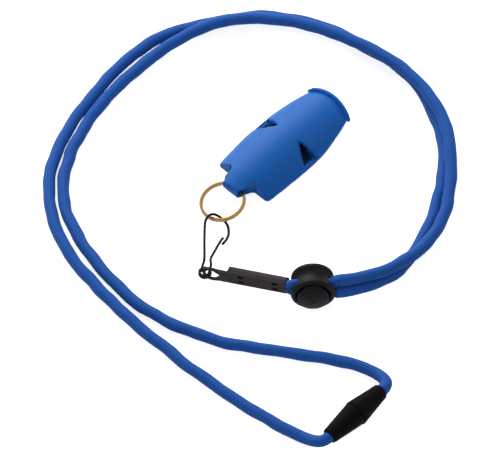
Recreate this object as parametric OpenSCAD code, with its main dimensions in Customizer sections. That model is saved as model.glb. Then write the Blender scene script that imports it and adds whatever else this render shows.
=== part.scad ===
// Pealess referee whistle on a cord lanyard: whistle, split ring, wire snap hook,
// crimp clip, cord lock, two cords and a pull-apart neck clasp.
// Lengths in mm. The origin is under the middle of the whistle, +X points to the
// mouthpiece and z = 0 is the table that everything lies on.

/* [Whistle body] */
// Radius of the arched roof across the whistle
roof_r = 14.6; // [13:0.1:16]
// Height of the roof's centre line of curvature, below the table
roof_z = -6.2; // [-8:0.1:-5]
// Radius of the roof's lengthwise arch
arch_r = 130; // [100:1:160]
// Largest half width of the body
half_w = 12.2; // [11:0.1:14]
// Plan radius of the side behind the widest point
rear_side_r = 285; // [200:1:320]
// Plan radius of the side in front of the widest point
front_side_r = 77; // [60:1:100]
// Where the body is widest
wide_x = -2; // [-5:0.1:2]
// Tail face of the body
tail_x = -22; // [-26:0.1:-18]
// Plan radius of the mouth end
mouth_r = 28; // [20:0.5:40]
// Centre of the mouth end's plan radius
mouth_cx = -4.6; // [-10:0.1:2]
// Where the flat underside starts to rise
belly_x = 5; // [0:0.5:10]
// Radius of the rising underside
belly_r = 128; // [90:1:160]
// Radius of the underside's rounding across the mouthpiece
keel_r = 30; // [20:1:60]
// Rise of the keel line towards the mouth, in degrees
keel_tilt = 12.5; // [8:0.5:16]
// Height of the joint between the two shells
split_z = 1.5; // [1.2:0.1:2.5]

/* [Lip rim] */
// Thickness of the rim along the whistle
rim_t = 1.15; // [0.8:0.05:1.6]
// How far the rim stands proud of the body
rim_proud = 0.85; // [0.5:0.05:1.2]

/* [Chambers and windways] */
// Roof thickness over the chambers
roof_t = 1.4; // [1:0.1:2]
// Web between the two chambers
web_t = 1.2; // [0.8:0.1:2]
// Outer side of the chambers
chamber_y = 10.4; // [9:0.1:11]
// Rear end of the chambers
chamber_tail = -19.5; // [-20.5:0.1:-17]
// Floor thickness under the chambers
floor_t = 1; // [0.8:0.1:1.4]
// Front wall of the side windows at their inner tip
window_x = 0.5; // [-2:0.1:4]
// Inner tip of the side windows
window_y = 4.2; // [3:0.1:5]
// Height of the window's inner tip
window_z = 7.8; // [7:0.1:8.5]
// Bottom of the side windows
window_floor = 2.4; // [1.8:0.1:2.8]
// Slope of the window ramp from level
ramp_tilt = 50.5; // [45:0.5:65]
// Direction the window ramp faces
ramp_turn = 55; // [45:0.5:75]
// Angle of the window's front wall from straight across
wall_turn = 15; // [0:1:30]
// Width of the window ramp at the inner tip
ramp_w = 0.5; // [0.2:0.1:1.5]
// Side wall left outside the window's well
side_t = 0.9; // [0.6:0.1:1.4]
// Lower side of the windways
slot_z = 2.8; // [2.2:0.1:3.4]
// Height of the windways
slot_h = 1.6; // [1:0.1:2]
// Roof thickness over the windways
slot_roof_t = 1; // [0.8:0.1:1.4]
// Outer side of the windways
slot_y = 7.6; // [6:0.1:8.5]

/* [Ring tab] */
// Half width of the tab
tab_half_w = 4.35; // [3.5:0.05:5.5]
// Radius of the tab's nose
tab_r = 3.4; // [3:0.1:4.5]
// Centre of the tab's nose along the whistle
tab_x = -25.4; // [-28:0.1:-24.5]
// Height of the tab's nose
tab_z = 3.5; // [3.4:0.1:4.5]
// Position of the ring hole along the whistle
bore_x = -25.9; // [-27:0.1:-25]
// Height of the ring hole
bore_z = 3; // [2.8:0.1:3.6]
// Diameter of the ring hole
tab_bore = 3.8; // [3.4:0.1:4.4]
// Bevel at each end of the ring hole
tab_sink = 1.6; // [0.4:0.1:2]
// Fillet between the tab and the tail face
tab_fillet = 2; // [1:0.1:3]

/* [Split ring] */
// Mean radius of the split ring
ring_r = 7.45; // [6.5:0.05:9]
// Width of the flat ring wire
ring_w = 1.15; // [0.9:0.05:1.6]
// Thickness of one turn
ring_t = 0.62; // [0.4:0.01:0.9]
// Gap between the two turns
ring_gap = 0.04; // [0.02:0.01:0.1]

/* [Snap hook] */
// Diameter of the hook's spring wire
wire_d = 0.85; // [0.7:0.05:1.4]
// Mean radius of the hook's coil
coil_r = 1.9; // [1.6:0.05:2.4]
// Rise of the coil in one turn
coil_pitch = 1.1; // [0.95:0.05:1.5]

/* [Crimp clip] */
// Thickness of the clip's metal strip
strip_t = 0.7; // [0.5:0.05:1]
// Length of the clip from the eye rim to the mouth
clip_len = 29.2; // [24:0.1:34]
// Height of the eye end
eye_h = 6.3; // [5:0.1:7]
// Height of the crimped channel
web_h = 5.5; // [4.5:0.1:6.5]
// Start of the crimped channel
web_x = 6; // [5:0.1:9]

/* [Cord lock] */
// Diameter of the lock over its front rim
lock_d = 15.2; // [13:0.1:18]
// Diameter of the plunger's bore
lock_bore = 10.8; // [9:0.1:12]
// Diameter of the plunger
plunger_d = 10.64; // [9:0.02:12]
// Travel of the plunger
plunger_travel = 1.7; // [1:0.1:3]
// Width of the cord hole along the plunger
hole_w = 3.2; // [3:0.1:4.5]
// Wire diameter of the return spring
spring_d = 0.4; // [0.3:0.05:0.6]

/* [Cords] */
// Diameter of the cords
cord_d = 3.9; // [3:0.1:5]
// Width of the cords where the lock pinches them
pinched_w = 2.9; // [2.4:0.1:4]

/* [Neck clasp] */
// Length of each half of the clasp
clasp_half = 13; // [10:0.5:16]
// Diameter at the outer ends
clasp_end_d = 5.6; // [5:0.1:7]
// Diameter at the seam
clasp_mid_d = 9.2; // [8:0.1:11]
// Step between the two halves at the seam
clasp_step = 0.25; // [0:0.05:0.5]
// Diameter of the plug's spigot
spigot_d = 5.2; // [4:0.1:6]
// Length of the plug's spigot
spigot_len = 6; // [4:0.5:8]

/* [Hidden] */

// Mesh counts: large arcs, round parts, swept wire and swept cord
fn_arc = 360;
fn_round = 64;
wire_sides = 8;
cord_sides = 10;

// A block larger than the whistle, and a cutter's overrun
big = 60;
over = 1;

// A point on the keel line, under the mouth
keel_at = [21, 0, 1];

// Front end of the chambers and start of the windways
chamber_front = 1.5;

// Direction that the ramp's lower edge faces
well_turn = 20;

// Plan radius of the tab's nose corners
nose_corner = 2;

// Where each separate piece lies, and how it is turned
ring_at = [-33.1, -0.95, 2.09];
ring_turn = [-6, -8.5, 0];
hook_at = [-59.5, -17.5, 0];
hook_turn = 34;
clip_at = [-59.5, -17.5, 3.4];
clip_turn = -66;
clip_rise = 8;
lock_at = [-41.3, -50.3, 7.6];
lock_turn = -45;
clasp_at = [-68.5, -95, 4.6];

// Split ring: the ramp from the lower turn to the upper one spans these angles
ramp_from = 330;
ramp_to = 390;
ring_start = 35;
ring_end = 685;

// Eye and channel of the clip
eye_x = 2.3;
eye_r = 2.15;
eye_tip = 3.4;
neck_len = 3.7;
neck_h = 5.2;
flat_d = 1.1;
roll_lean = 24;
cord_in = 2.6;
press_slot = [2, 1];
press_at = [12, 24.3];
press_z = 1.3;

// Cord lock: stations along the plunger's axis, front to rear
plunger_front = -6.2;
lock_front = -3.8;
plunger_rear = 2.3;
bore_end = 4.5;
lock_rear = 5.3;
cord_gap = 4.1;
lead_x = -7.9;
lead_squeeze = 0.7;
lead_flat = 0.5;
grip_x = 6.6;
hole_h = 8.4;
hole_flat = 0.1;
waist_r = 6.5;
waist_arc = 5.4;
waist_at = 0.75;
dome_r = 16;

// Neck clasp: how deep the cords go in
cord_depth = 5;

// Snap hook wire, seen from above: tip, bow, long arm, coil, short arm
hook_route = [
    [14.1, -3.7, 1.3], [15.4, -4.3, 1.1], [17, -4.8, 0.8], [19, -5, 0.6], [21, -4.7, 0.5],
    [22.7, -4.1, 0.5], [24.1, -3, 0.55], [25.1, -1.7, 0.75], [25.5, -0.3, 1.5],
    [25.3, 1.1, 2.3], [24.3, 2.4, 2.8], [22.7, 3.1, 2.9], [20.6, 3.3, 2.9], [15, 2.6, 2.5],
    [10, 1.8, 2.5], [5.8, 1.2, 2.5], [3.2, 1.4, 2.5]
];
hook_back = [
    [2.7, -1.6, 4.3], [5.4, -1.1, 4.2], [9.6, -1.9, 3.3], [13.9, -2.9, 2.6], [15.9, -3.6, 2.4]
];

// Routes of the two cords after the lock, from hand-read points along the photo
rear_route = [
    [-27.5, -57.8, 7.4], [-20.5, -61.5, 6.4], [-12, -64.5, 6.1], [-2, -65, 5.5],
    [8, -62.8, 4.8], [18, -57.8, 4.6], [28, -49.8, 5.4], [36.5, -41, 5.9], [43, -30.5, 6],
    [47, -18.5, 6.1], [47.7, -6, 6], [46.2, 6.5, 5.8], [42.8, 19, 5.5], [37.5, 31.3, 5.2],
    [30, 41.7, 5], [20, 50.1, 5.1], [9, 55, 4], [-3, 58, 2.6], [-16, 58.6, 2], [-29, 57.9, 2],
    [-41.5, 55.2, 2], [-53.3, 50.7, 2], [-63.7, 44.5, 2], [-72.1, 35.5, 2], [-77.4, 24, 2],
    [-81, 12, 2], [-83.2, -0.5, 2], [-83.5, -13, 2], [-80.8, -27.5, 2], [-75.5, -41.5, 2],
    [-67.8, -54.2, 2], [-59.5, -67, 2], [-53, -78.5, 2], [-50.4, -87, 2.3],
    [-51.2, -92.9, 3.8], [-54.4, -95, 4.6], [-59.5, -95, 4.6]
];
front_route = [
    [-30.6, -60.6, 3.8], [-23, -62.8, 2.4], [-12.5, -64.2, 2], [-1, -62, 2], [10, -57.6, 2],
    [20.5, -51.7, 2], [30, -45, 2], [37.5, -36.8, 2], [43.7, -27, 2], [48, -15.8, 2],
    [49.5, -4, 2], [48, 8.2, 2], [45.4, 21, 2], [40.5, 32.7, 2], [33.3, 42.8, 2],
    [23.5, 51, 2], [12, 58, 2], [0, 62.8, 2], [-12.5, 63.6, 2], [-25, 62.8, 2],
    [-38, 60.5, 2], [-50.5, 56.8, 2], [-62.5, 51, 2], [-72.8, 42.3, 2], [-80.3, 31.5, 2],
    [-85, 20.5, 2], [-87.6, 8.5, 2], [-89.5, -4, 2], [-90.4, -17, 2], [-90.9, -30, 2],
    [-91, -43, 2], [-90.5, -56, 2], [-89.6, -69, 2], [-87.8, -79.5, 2], [-86.2, -88, 2.3],
    [-84.9, -93.2, 3.8], [-82.6, -95, 4.6], [-77.5, -95, 4.6]
];

shell_blue = [0.16, 0.4, 0.85];
cord_blue = [0.1, 0.45, 0.85];
brass = [0.82, 0.66, 0.36];
black = [0.12, 0.12, 0.13];

function unit(v) = v / norm(v);

// A point given in the lock's frame, in the shared frame
function in_lock(p) = lock_at + [
    p[0] * cos(lock_turn) - p[1] * sin(lock_turn),
    p[0] * sin(lock_turn) + p[1] * cos(lock_turn),
    p[2]
];

// The direction of a route at one of its points
function heading(route, i) = unit(route[min(i + 1, len(route) - 1)] - route[max(i - 1, 0)]);

// Catmull-Rom curve through the points, with a number of steps in each span
function curve_point(p, q, r, s, t) =
    0.5 * (2 * q + (r - p) * t + (2 * p - 5 * q + 4 * r - s) * t * t
        + (3 * q - p - 3 * r + s) * t * t * t);
function curve(pts, steps) = [
    for (i = [0 : len(pts) - 2], k = [0 : steps - 1])
        curve_point(pts[max(i - 1, 0)], pts[i], pts[i + 1], pts[min(i + 2, len(pts) - 1)], k / steps),
    pts[len(pts) - 1]
];

// An oval section, and a rectangular one, as [across, up] offsets
function oval(w, h, sides) = [
    for (k = [0 : sides - 1]) [w / 2 * cos(360 * k / sides), h / 2 * sin(360 * k / sides)]
];
function flat(w, h) = [[-w / 2, -h / 2], [w / 2, -h / 2], [w / 2, h / 2], [-w / 2, h / 2]];

// One section of a swept solid, standing across the route
function placed(route, i, section) =
    let (
        along = heading(route, i),
        across = unit(cross(along, [0, 0, 1])),
        up = cross(across, along)
    )
    [for (s = section) route[i] + s[0] * across + s[1] * up];

// A solid swept along a route; sections has one section for each point of it
module sweep(route, sections) {
    n = len(sections[0]);
    last = len(route) - 1;
    points = [for (i = [0 : last]) each placed(route, i, sections[i])];
    sides = [
        for (i = [0 : last - 1], k = [0 : n - 1])
            let (a = i * n + k, b = i * n + (k + 1) % n)
            each [[a, b, b + n], [a, b + n, a + n]]
    ];
    start = [for (k = [1 : n - 2]) [0, k + 1, k]];
    end = [for (k = [1 : n - 2]) [last * n, last * n + k, last * n + k + 1]];
    polyhedron(points = points, faces = concat(start, sides, end));
}

// Region of the plan behind the curved mouth end
module behind_mouth(r) {
    translate([mouth_cx, 0]) circle(r, $fn = fn_arc);
    translate([-big, -big / 2]) square([big + mouth_cx, big]);
}

// Lens between the two side arcs
module side_arcs(r, extra) {
    intersection_for (side = [-1, 1])
        translate([wide_x, side * (r - half_w)]) circle(r + extra, $fn = fn_arc);
}

// Plan of the body, grown sideways by extra
module plan(extra) {
    intersection() {
        side_arcs(rear_side_r, extra);
        translate([tail_x, -big / 2]) square([wide_x - tail_x, big]);
    }
    intersection() {
        side_arcs(front_side_r, extra);
        translate([wide_x, -big / 2]) square([big, big]);
        behind_mouth(mouth_r);
    }
}

// Solid under the arched roof, grown by extra
module under_roof(extra) {
    translate([0, 0, roof_z]) rotate([0, 90, 0]) rotate_extrude($fn = 2 * fn_round)
        intersection() {
            translate([roof_r - arch_r, -3]) circle(arch_r + extra, $fn = fn_arc);
            translate([0, -big / 2]) square([big, big]);
        }
}

// Solid above the underside, grown downwards by extra
module above_belly(extra) {
    intersection() {
        rotate([90, 0, 0]) linear_extrude(big, center = true) {
            translate([-big, -extra]) square([big + belly_x, big]);
            intersection() {
                translate([belly_x, belly_r]) circle(belly_r + extra, $fn = fn_arc);
                translate([belly_x, -extra]) square([big, big]);
            }
        }
        // Rounded keel, which only reaches the sides of the mouthpiece
        translate(keel_at) rotate([0, 90 - keel_tilt, 0]) translate([-keel_r, 0, -big])
            cylinder(r = keel_r + extra, h = 2 * big, $fn = fn_arc);
    }
}

module body() {
    intersection() {
        under_roof(0);
        above_belly(0);
        linear_extrude(big) plan(0);
    }
}

module rim() {
    intersection() {
        under_roof(rim_proud);
        above_belly(rim_proud);
        translate([0, 0, -over]) linear_extrude(big) difference() {
            plan(rim_proud);
            behind_mouth(mouth_r - rim_t);
        }
    }
}

module slab(from_z, to_z) {
    translate([-big, -big / 2, from_z]) cube([2 * big, big, to_z - from_z]);
}

// Both chambers, from the lower shell's recess up to the inside of the roof
module chambers() {
    intersection() {
        under_roof(-roof_t);
        for (side = [0, 1])
            mirror([0, side, 0]) translate([chamber_tail, web_t / 2, floor_t])
                cube([chamber_front - chamber_tail, chamber_y - web_t / 2, big]);
    }
}

// Wedge cut down to one sloping ramp, open to the side
module window() {
    intersection() {
        translate([window_x, window_y, window_z]) rotate([0, ramp_tilt, ramp_turn])
            translate([-big / 2, -big / 2, 0]) cube(big);
        translate([window_x, window_y, window_floor]) rotate([0, 0, -wall_turn])
            translate([-big, -big / 2, 0]) cube(big);
    }
}

// Well from the ramp's lower edge to the front wall, open down to the chamber
module well() {
    intersection() {
        translate([window_x + ramp_w, window_y, split_z]) rotate([0, 0, well_turn])
            translate([0, -big / 2, 0]) cube(big);
        translate([window_x, window_y, split_z]) rotate([0, 0, -wall_turn])
            translate([-big, -big / 2, 0]) cube(big);
        linear_extrude(big) plan(-side_t);
    }
}

// Flat passage from the mouth to the window
module windway() {
    intersection() {
        under_roof(-slot_roof_t);
        translate([chamber_front - over, web_t, slot_z])
            cube([big, slot_y - web_t, slot_h]);
    }
}

// Plan of the tab, its nose corners rounded
module tab_plan() {
    nose = tab_x - tab_r;
    corner = tab_half_w - nose_corner;
    translate([nose + nose_corner, -tab_half_w])
        square([tail_x + over - nose - nose_corner, 2 * tab_half_w]);
    translate([nose, -corner]) square([2 * nose_corner, 2 * corner]);
    for (side = [-1, 1])
        translate([nose + nose_corner, side * corner]) circle(nose_corner, $fn = fn_round);
}

module tab() {
    intersection() {
        rotate([90, 0, 0]) linear_extrude(big, center = true) {
            translate([tab_x, tab_z]) circle(tab_r, $fn = fn_round);
            translate([tab_x, tab_z - tab_r]) square([tail_x - tab_x, 2 * tab_r]);
            translate([tail_x - over, split_z])
                square([2 * over, tab_z + tab_r - split_z]);
        }
        linear_extrude(big) {
            tab_plan();
            difference() {
                translate([tail_x - tab_fillet, -tab_half_w - tab_fillet])
                    square([tab_fillet, 2 * (tab_half_w + tab_fillet)]);
                for (side = [-1, 1])
                    translate([tail_x - tab_fillet, side * (tab_half_w + tab_fillet)])
                        circle(tab_fillet, $fn = fn_round);
            }
        }
    }
}

module tab_hole() {
    translate([bore_x, 0, bore_z]) rotate([90, 0, 0]) {
        cylinder(d = tab_bore, h = 2 * tab_half_w + over, center = true, $fn = fn_round);
        for (side = [0, 1])
            mirror([0, 0, side]) translate([0, 0, tab_half_w - tab_sink])
                cylinder(d1 = tab_bore, d2 = tab_bore + 4 * tab_sink, h = 2 * tab_sink, $fn = fn_round);
    }
}

module upper_shell() color(shell_blue) {
    difference() {
        union() {
            intersection() {
                union() {
                    body();
                    rim();
                }
                slab(split_z, big);
            }
            tab();
        }
        chambers();
        for (side = [0, 1]) mirror([0, side, 0]) {
            window();
            well();
            windway();
        }
        tab_hole();
    }
}

module lower_shell() color(shell_blue) {
    difference() {
        intersection() {
            union() {
                body();
                rim();
            }
            slab(-over, split_z);
        }
        chambers();
    }
}

// One level turn of the split ring
module ring_turn_at(z, from_a, to_a) {
    rotate([0, 0, from_a]) rotate_extrude(angle = to_a - from_a, $fn = fn_round)
        translate([ring_r - ring_w / 2, z - ring_t / 2]) square([ring_w, ring_t]);
}

module split_ring() color(brass) {
    level = (ring_t + ring_gap) / 2;
    steps = 12;
    ramp = [
        for (k = [0 : steps])
            let (a = ramp_from + (ramp_to - ramp_from) * k / steps)
            [ring_r * cos(a), ring_r * sin(a), level * (2 * k / steps - 1)]
    ];
    translate(ring_at) rotate(ring_turn) {
        ring_turn_at(-level, ring_start, ramp_from);
        ring_turn_at(level, ramp_to - 360, ring_end - 360);
        sweep(ramp, [for (k = [0 : steps]) flat(ring_w, ring_t)]);
    }
}

module snap_hook() color(black) {
    turn_steps = 14;
    coil = [
        for (k = [0 : 1.5 * turn_steps])
            let (a = 40 + 360 * k / turn_steps)
            [coil_r * cos(a), coil_r * sin(a), 2.5 + coil_pitch * k / turn_steps]
    ];
    route = concat(curve(hook_route, 2), coil, curve(hook_back, 2));
    translate(hook_at) rotate([0, 0, hook_turn])
        sweep(route, [for (p = route) oval(wire_d, wire_d, wire_sides)]);
}

// Outline of the crimped channel, [depth, height], grown inwards by inset
module channel(inset) {
    r = web_h / 2 - inset;
    front = inset - strip_t / 2;
    translate([front, -r]) square([flat_d - front, 2 * r]);
    intersection() {
        translate([flat_d, 0]) circle(r, $fn = fn_round);
        translate([flat_d, -r]) square([r, 2 * r]);
    }
}

// Round hole drawn out to a point at the given distance from its centre
module teardrop(r, tip) {
    lean = asin(r / tip);
    circle(r, $fn = fn_round);
    polygon([[r * sin(lean), r * cos(lean)], [tip, 0], [r * sin(lean), -r * cos(lean)]]);
}

// Side view of the flat strip: round eye end, neck and web
module strip_outline() {
    translate([eye_x, 0]) difference() {
        union() {
            circle(eye_h / 2, $fn = fn_round);
            polygon([
                [0, -eye_h / 2], [neck_len, -neck_h / 2], [web_x - eye_x, -web_h / 2],
                [web_x - eye_x, web_h / 2], [neck_len, neck_h / 2], [0, eye_h / 2]
            ]);
        }
        teardrop(eye_r, eye_tip);
    }
    translate([web_x - strip_t, -web_h / 2]) square([2 * strip_t, web_h]);
}

module in_clip() {
    translate(clip_at) rotate([0, -clip_rise, clip_turn]) children();
}

module crimp_clip() color(black) {
    in_clip() difference() {
        union() {
            rotate([90, 0, 0]) linear_extrude(strip_t, center = true) strip_outline();
            // Channel rolled round the cord ends
            translate([web_x, 0, 0]) rotate([90, 0, 90]) linear_extrude(clip_len - web_x)
                difference() {
                    channel(0);
                    channel(strip_t);
                }
        }
        // The roll starts on a slant
        translate([web_x, strip_t / 2, -web_h / 2]) rotate([0, roll_lean, 0])
            translate([-web_h, 0, -web_h]) cube([web_h, web_h, 3 * web_h]);
        for (x = press_at, side = [-1, 1])
            translate([x, -strip_t, side * press_z - press_slot[1] / 2])
                cube([press_slot[0], 2 * strip_t, press_slot[1]]);
    }
}

// Doubled cord ends pressed into the channel, spreading to the two cords at the lock
module cord_ends() color(cord_blue) {
    half = web_h / 2 - strip_t;
    in_clip() translate([web_x + cord_in, 0, 0]) rotate([90, 0, 90])
        linear_extrude(clip_len - web_x - cord_in) channel(strip_t);
    difference() {
        for (up = [0, 1]) hull() {
            in_clip() translate([clip_len - 0.02, strip_t / 2, (up - 1) * half])
                cube([0.1, flat_d + half - strip_t / 2, half]);
            in_lock_frame() translate([lead_x, 0, (up - 0.5) * cord_gap * lead_squeeze])
                rotate([90, 0, 90]) linear_extrude(0.2, center = true)
                    polygon(oval(pinched_w, cord_d * lead_squeeze, cord_sides));
        }
        in_lock_frame() translate([lead_x, -big / 2, -big / 2]) cube(big);
    }
}

module in_lock_frame() {
    translate(lock_at) rotate([0, 0, lock_turn]) children();
}

// Turned solid about the lock's long axis, from a [radius, station] outline
module turned() {
    rotate([-90, 0, 0]) rotate_extrude($fn = fn_round) children();
}

// Through hole across the lock, w along the axis and h tall, with round corners
module cord_hole(w, h) {
    r = hole_w / 2 - hole_flat;
    rotate([90, 0, 90]) linear_extrude(big, center = true) {
        translate([-w / 2, -h / 2 + r]) square([w, h - 2 * r]);
        translate([-w / 2 + r, -h / 2]) square([w - 2 * r, h]);
        for (x = [-1, 1], y = [-1, 1])
            translate([x * (w / 2 - r), y * (h / 2 - r)]) circle(r, $fn = fn_round);
    }
}

// Half outline of a disc with one rounded edge, from station a to the round end b
module rounded_disc(disc_r, edge_r, a, b) {
    inner = b > a ? b - edge_r : b + edge_r;
    translate([0, min(a, inner)]) square([disc_r, abs(inner - a)]);
    translate([0, min(a, b)]) square([disc_r - edge_r, abs(b - a)]);
    translate([disc_r - edge_r, inner]) circle(edge_r, $fn = fn_round);
}

module lock_barrel() color(black) {
    in_lock_frame() difference() {
        union() {
            turned() rounded_disc(lock_d / 2 - 0.3, 1.4, waist_at, lock_rear);
            turned() rounded_disc(lock_d / 2, 1, waist_at, lock_front);
        }
        turned() translate([waist_r + waist_arc, waist_at]) circle(waist_arc, $fn = fn_round);
        rotate([-90, 0, 0]) {
            translate([0, 0, lock_front - over])
                cylinder(d = lock_bore, h = bore_end - lock_front + over, $fn = fn_round);
            translate([0, 0, lock_front - 0.1])
                cylinder(d1 = lock_bore + 1.8, d2 = lock_bore, h = 0.9, $fn = fn_round);
        }
        cord_hole(hole_w, hole_h);
    }
}

module lock_plunger() color(black) {
    r = plunger_d / 2;
    in_lock_frame() difference() {
        turned() intersection() {
            translate([0, plunger_front]) square([r, plunger_rear - plunger_front]);
            translate([0, plunger_front + dome_r]) circle(dome_r, $fn = fn_round);
        }
        translate([0, -plunger_travel / 2, 0]) cord_hole(hole_w + plunger_travel, hole_h);
    }
}

// Conical return spring, its coils nesting when the plunger is pushed home
module lock_spring() color([0.7, 0.7, 0.72]) {
    turn_steps = 16;
    turns = 2.5;
    last = turns * turn_steps;
    lowest = plunger_rear + spring_d * 0.6;
    rise = bore_end - plunger_rear - spring_d * 1.2;
    route = [
        for (k = [0 : last])
            let (a = 360 * k / turn_steps, r = 2.6 + 1.8 * k / last)
            [r * cos(a), r * sin(a), lowest + rise * k / last]
    ];
    in_lock_frame() rotate([-90, 0, 0])
        sweep(route, [for (p = route) oval(spring_d, spring_d, 6)]);
}

// Cord through the lock at one height and on along its route
module cord(z, route) {
    inside = [
        for (x = [lead_x, lead_x + lead_flat]) in_lock([x, 0, z * lead_squeeze]),
        for (x = [-grip_x + over, grip_x, -lead_x + over]) in_lock([x, 0, z])
    ];
    whole = concat(inside, route);
    sweep(whole, [
        for (i = [0 : len(whole) - 1])
            i < 2 ? oval(pinched_w, cord_d * lead_squeeze, cord_sides)
                : oval(i < 4 ? pinched_w : cord_d, cord_d, cord_sides)
    ]);
}

module cord_rear() color(cord_blue) {
    cord(cord_gap / 2, rear_route);
}

module cord_front() color(cord_blue) {
    cord(-cord_gap / 2, front_route);
}

// Cone of one clasp half, from the seam to the cord end
module clasp_cone(seam_r) {
    end_r = clasp_end_d / 2;
    rotate([0, 90, 0]) rotate_extrude($fn = fn_round) polygon([
        [0, 0], [seam_r - 0.3, 0], [seam_r, 0.3], [end_r, clasp_half - 0.5],
        [end_r - 0.4, clasp_half], [0, clasp_half]
    ]);
}

module cord_socket() {
    translate([clasp_half - cord_depth, 0, 0]) rotate([0, 90, 0])
        cylinder(d = cord_d + 0.1, h = cord_depth + over, $fn = fn_round);
}

module clasp_plug() color(black) {
    translate(clasp_at) {
        difference() {
            clasp_cone(clasp_mid_d / 2);
            cord_socket();
        }
        rotate([0, -90, 0]) {
            cylinder(d = spigot_d, h = spigot_len - 0.6, $fn = fn_round);
            translate([0, 0, spigot_len - 0.6])
                cylinder(d1 = spigot_d, d2 = spigot_d - 1.2, h = 0.6, $fn = fn_round);
        }
    }
}

module clasp_socket() color(black) {
    translate(clasp_at) difference() {
        mirror([1, 0, 0]) difference() {
            clasp_cone(clasp_mid_d / 2 - clasp_step);
            cord_socket();
        }
        translate([-spigot_len - 0.2, 0, 0]) rotate([0, 90, 0])
            cylinder(d = spigot_d + 0.1, h = big, $fn = fn_round);
    }
}

upper_shell();
lower_shell();
split_ring();
snap_hook();
crimp_clip();
cord_ends();
lock_barrel();
lock_plunger();
lock_spring();
cord_rear();
cord_front();
clasp_socket();
clasp_plug();
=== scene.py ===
"""Pealess referee whistle on a cord lanyard: the finish of every piece.

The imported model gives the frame: X runs to the mouthpiece, Z is up and the table is z = 0.
Places, routes and sizes are listed in millimetres, and MM turns them to metres where a
mesh, a lamp or a property takes them.
"""

import math

import bmesh
import bpy
from mathutils import Matrix, Vector, noise


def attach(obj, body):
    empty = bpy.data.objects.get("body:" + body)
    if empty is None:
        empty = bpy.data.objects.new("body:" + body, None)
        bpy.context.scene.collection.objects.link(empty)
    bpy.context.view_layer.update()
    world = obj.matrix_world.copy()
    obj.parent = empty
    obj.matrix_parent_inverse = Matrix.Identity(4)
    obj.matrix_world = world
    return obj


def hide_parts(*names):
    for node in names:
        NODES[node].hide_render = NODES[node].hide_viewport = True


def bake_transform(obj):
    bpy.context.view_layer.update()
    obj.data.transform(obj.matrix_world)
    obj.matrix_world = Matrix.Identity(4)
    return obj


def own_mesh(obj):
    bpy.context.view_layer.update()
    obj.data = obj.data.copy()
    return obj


bl_info = {
    "name": "Referee whistle on a lanyard",
    "version": (1, 0, 0),
    "blender": (4, 5, 0),
    "location": "View3D > Sidebar > Lanyard",
    "description": "Builds the cords, ring, hook, lock and finishes of a whistle on its lanyard",
    "category": "Object",
}

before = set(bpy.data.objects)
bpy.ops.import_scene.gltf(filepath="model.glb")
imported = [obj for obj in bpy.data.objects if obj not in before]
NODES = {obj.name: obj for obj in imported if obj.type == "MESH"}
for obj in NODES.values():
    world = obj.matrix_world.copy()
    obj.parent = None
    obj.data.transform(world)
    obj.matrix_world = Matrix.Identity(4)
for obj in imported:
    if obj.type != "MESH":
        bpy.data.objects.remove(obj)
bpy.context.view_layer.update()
MM = 0.001

# Where the loose pieces lie, as the part's source has them: place in mm, turns in degrees
RING_AT, RING_TURN = Vector((-33.1, -0.95, 2.09)), (-6.0, -8.5, 0.0)
HOOK_AT, HOOK_TURN = Vector((-59.5, -17.5, 0.0)), (0.0, 0.0, 34.0)
CLIP_AT, CLIP_TURN = Vector((-59.5, -17.5, 3.4)), (0.0, -8.0, -66.0)
LOCK_AT, LOCK_TURN = Vector((-41.3, -50.3, 7.6)), (0.0, 0.0, -45.0)

# The two cords after the lock, points in mm
REAR_ROUTE = [
    (-27.5, -57.8, 7.4), (-20.5, -61.5, 6.4), (-12, -64.5, 6.1), (-2, -65, 5.5),
    (8, -62.8, 4.8), (18, -57.8, 4.6), (28, -49.8, 5.4), (36.5, -41, 5.9), (43, -30.5, 6),
    (47, -18.5, 6.1), (47.7, -6, 6), (46.2, 6.5, 5.8), (42.8, 19, 5.5), (37.5, 31.3, 5.2),
    (30, 41.7, 5), (20, 50.1, 5.1), (9, 55, 4), (-3, 58, 2.6), (-16, 58.6, 2), (-29, 57.9, 2),
    (-41.5, 55.2, 2), (-53.3, 50.7, 2), (-63.7, 44.5, 2), (-72.1, 35.5, 2), (-77.4, 24, 2),
    (-81, 12, 2), (-83.2, -0.5, 2), (-83.5, -13, 2), (-80.8, -27.5, 2), (-75.5, -41.5, 2),
    (-67.8, -54.2, 2), (-59.5, -67, 2), (-53, -78.5, 2), (-50.4, -87, 2.3),
    (-51.2, -92.9, 3.8), (-54.4, -95, 4.6), (-59.5, -95, 4.6),
]
FRONT_ROUTE = [
    (-30.6, -60.6, 3.8), (-23, -62.8, 2.4), (-12.5, -64.2, 2), (-1, -62, 2), (10, -57.6, 2),
    (20.5, -51.7, 2), (30, -45, 2), (37.5, -36.8, 2), (43.7, -27, 2), (48, -15.8, 2),
    (49.5, -4, 2), (48, 8.2, 2), (45.4, 21, 2), (40.5, 32.7, 2), (33.3, 42.8, 2),
    (23.5, 51, 2), (12, 58, 2), (0, 62.8, 2), (-12.5, 63.6, 2), (-25, 62.8, 2),
    (-38, 60.5, 2), (-50.5, 56.8, 2), (-62.5, 51, 2), (-72.8, 42.3, 2), (-80.3, 31.5, 2),
    (-85, 20.5, 2), (-87.6, 8.5, 2), (-89.5, -4, 2), (-90.4, -17, 2), (-90.9, -30, 2),
    (-91, -43, 2), (-90.5, -56, 2), (-89.6, -69, 2), (-87.8, -79.5, 2), (-86.2, -88, 2.3),
    (-84.9, -93.2, 3.8), (-82.6, -95, 4.6), (-77.5, -95, 4.6),
]
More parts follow.
